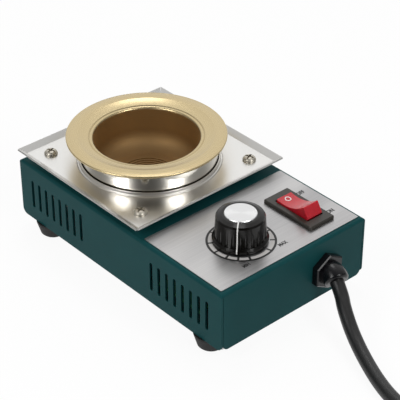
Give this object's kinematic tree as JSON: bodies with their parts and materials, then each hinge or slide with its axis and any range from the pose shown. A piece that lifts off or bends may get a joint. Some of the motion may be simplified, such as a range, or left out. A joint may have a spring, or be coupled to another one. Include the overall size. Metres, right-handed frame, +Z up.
{
  "type": "solder pot",
  "caption": "Low folded steel case on rubber feet with a heated round crucible at one end and a control panel with a knob and a rocker switch at the other.",
  "frame": {"origin": "on the surface it stands on, under the middle of the case, cord not counted", "axes": "+X right seen from the panel, +Y from the panel to the crucible, +Z up"},
  "size_m": [0.1305, 0.3151, 0.0554],
  "materials": {
    "powder_coat": "dark green powder coat, satin",
    "zinc_sheet": "zinc plated sheet",
    "stainless": "satin stainless sheet",
    "bright_screw": "bright plated",
    "turned_brass": "satin turned, heat toned",
    "label_plate": "brushed, printed",
    "knob_black": "gloss moulded",
    "spun_aluminium": "spun face",
    "switch_black": "fine moulded grain",
    "rocker_red": "gloss moulded",
    "foot_rubber": "moulded",
    "gland_black": "moulded nylon",
    "cord_black": "smooth sheath",
    "ceramic_white": "unglazed",
    "mica_board": "pressed mica",
    "board_laminate": "phenolic laminate",
    "component_dark": "moulded epoxy",
    "capacitor_case": "box film capacitor",
    "copper_winding": "enamelled copper",
    "fuse_glass": "clear tube",
    "block_nylon": "natural nylon",
    "wire_brown": "insulated",
    "wire_blue": "insulated",
    "wire_green": "insulated",
    "sleeve_white": "braided glass sleeve",
    "tinned_copper": "tinned wire"
  },
  "bodies": {
    "base": {"case_cover": "powder_coat", "base_plate": "zinc_sheet", "corner_brackets": "zinc_sheet", "foot_front_left": "foot_rubber", "foot_front_right": "foot_rubber", "foot_back_left": "foot_rubber", "foot_back_right": "foot_rubber", "foot_screws": "bright_screw", "control_label": "label_plate", "deflector_plate": "stainless", "plate_spacers": "bright_screw", "plate_screws": "bright_screw", "plate_nuts": "bright_screw", "heater_shell": "stainless", "insulating_ring": "mica_board", "heater_element": "ceramic_white", "heater_stud": "bright_screw", "heater_strap": "zinc_sheet", "heater_nut": "bright_screw", "crucible": "turned_brass", "dimmer_body": "zinc_sheet", "dimmer_tags": "tinned_copper", "dimmer_nut": "bright_screw", "switch_housing": "switch_black", "switch_tags": "tinned_copper", "gland_body": "gland_black", "gland_nose": "gland_black", "cord_entry": "cord_black", "gland_locknut": "gland_black", "board_standoffs": "bright_screw", "control_board": "board_laminate", "board_screws": "bright_screw", "heat_sink": "label_plate", "triac": "component_dark", "capacitor": "capacitor_case", "choke": "copper_winding", "fuse_holder": "tinned_copper", "fuse": "fuse_glass", "terminal_block": "block_nylon", "terminal_screws": "bright_screw", "earth_stud": "bright_screw", "earth_nut": "bright_screw", "wire_live": "wire_brown", "wire_neutral": "wire_blue", "wire_earth": "wire_green", "heater_lead_left": "sleeve_white", "heater_lead_right": "sleeve_white", "bond_wire": "tinned_copper", "mains_cord": "cord_black", "cord_coil": "cord_black", "cord_tail": "cord_black", "plug_body": "cord_black", "plug_pins": "bright_screw"},
    "knob": {"knob": "knob_black", "knob_disc": "spun_aluminium", "dimmer_shaft": "bright_screw"},
    "rocker": {"switch_rocker": "rocker_red"}
  },
  "joints": [
    {"name": "knob_turn", "type": "hinge", "parent": "base", "child": "knob", "pos_m": [-0.01, -0.047, 0.045], "axis": [0, 0, 1], "range_deg": [-280, 20]},
    {"name": "rocker_tilt", "type": "hinge", "parent": "base", "child": "rocker", "pos_m": [0.0248, -0.0481, 0.0385], "axis": [1, 0, 0], "range_deg": [0, 28]}
  ]
}
